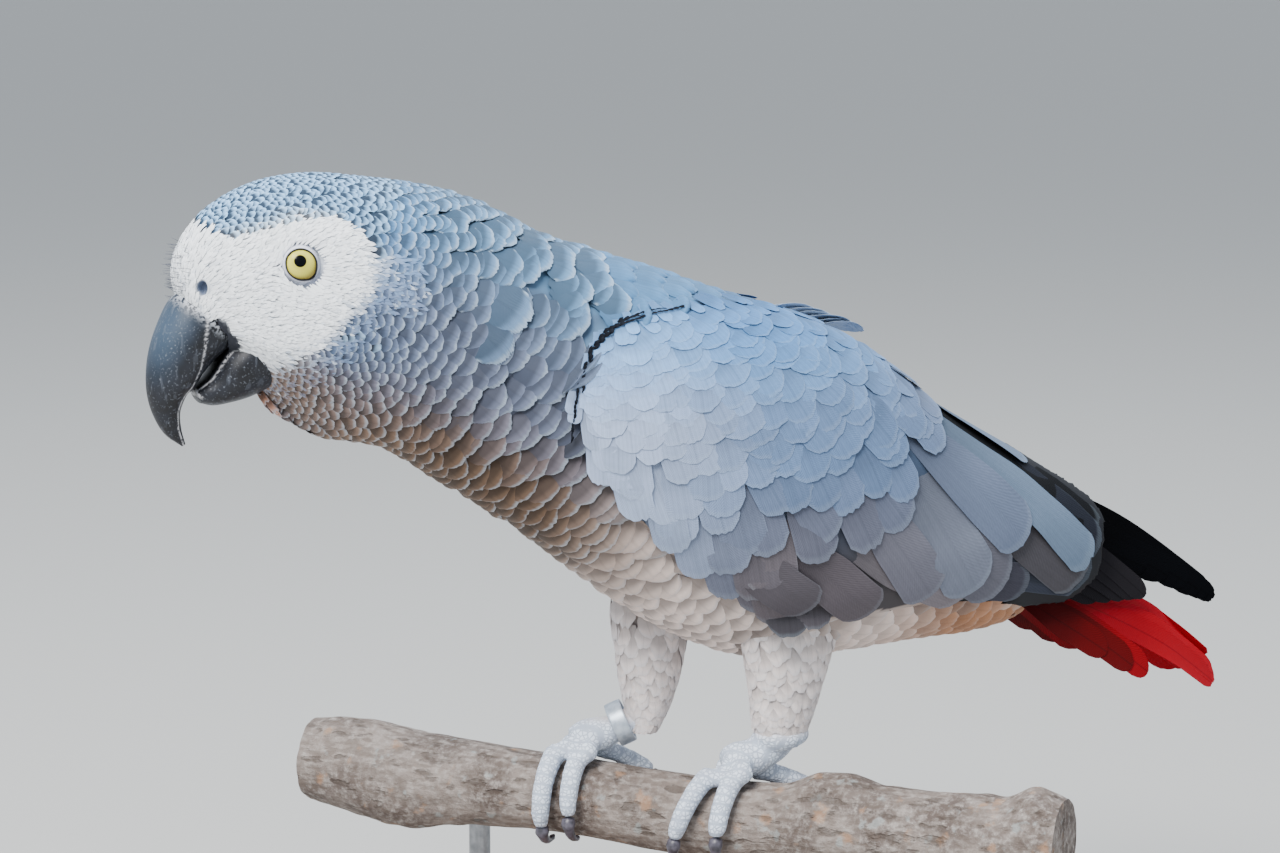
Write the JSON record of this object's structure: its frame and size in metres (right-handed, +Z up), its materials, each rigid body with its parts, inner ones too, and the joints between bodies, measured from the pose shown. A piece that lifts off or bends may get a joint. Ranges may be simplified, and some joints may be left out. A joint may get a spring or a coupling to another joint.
{
  "type": "grey parrot model",
  "caption": "Life-size still model of a grey parrot with a red tail, standing and gripping a cut branch, held up by a flat display stand with upright rods",
  "frame": {"origin": "middle of the stand base's underside", "axes": "+Z up; the bird faces -X and its left side is towards -Y; the branch runs across at 45 degrees, from +X -Y to -X +Y"},
  "size_m": [0.3193, 0.1728, 0.255],
  "materials": {
    "plumage": "pale grey feathers with lighter edges",
    "wing": "smooth grey wing feathers",
    "primaries": "charcoal flight feathers",
    "tail_feathers": "scarlet tail feathers",
    "thigh": "soft cream feathers",
    "scaled_skin": "pale grey scaled skin",
    "claw": "dark horn",
    "bill_horn": "satin dark horn",
    "eye": "glossy pale yellow eye with a black pupil",
    "ring_metal": "worn matt metal",
    "bark": "rough brown-grey bark",
    "stand_wood": "dark waxed wood",
    "rod_metal": "brushed"
  },
  "bodies": {
    "root": {"head": "plumage", "neck": "plumage", "trunk": "plumage", "wing_left": "wing", "wing_right": "wing", "primaries_left": "primaries", "primaries_right": "primaries", "tail": "tail_feathers", "thigh_left": "thigh", "thigh_right": "thigh", "foot_left": "scaled_skin", "foot_right": "scaled_skin", "toe_inner_left": "scaled_skin", "claw_inner_left": "claw", "toe_middle_left": "scaled_skin", "claw_middle_left": "claw", "toe_hind_left": "scaled_skin", "claw_hind_left": "claw", "toe_outer_left": "scaled_skin", "claw_outer_left": "claw", "eye_left": "eye", "toe_inner_right": "scaled_skin", "claw_inner_right": "claw", "toe_middle_right": "scaled_skin", "claw_middle_right": "claw", "toe_hind_right": "scaled_skin", "claw_hind_right": "claw", "toe_outer_right": "scaled_skin", "claw_outer_right": "claw", "eye_right": "eye", "bill_upper": "bill_horn", "bill_lower": "bill_horn", "leg_ring": "ring_metal", "perch_branch": "bark", "stand_base": "stand_wood", "stand_rod_1": "rod_metal", "stand_rod_2": "rod_metal"}
  },
  "joints": []
}
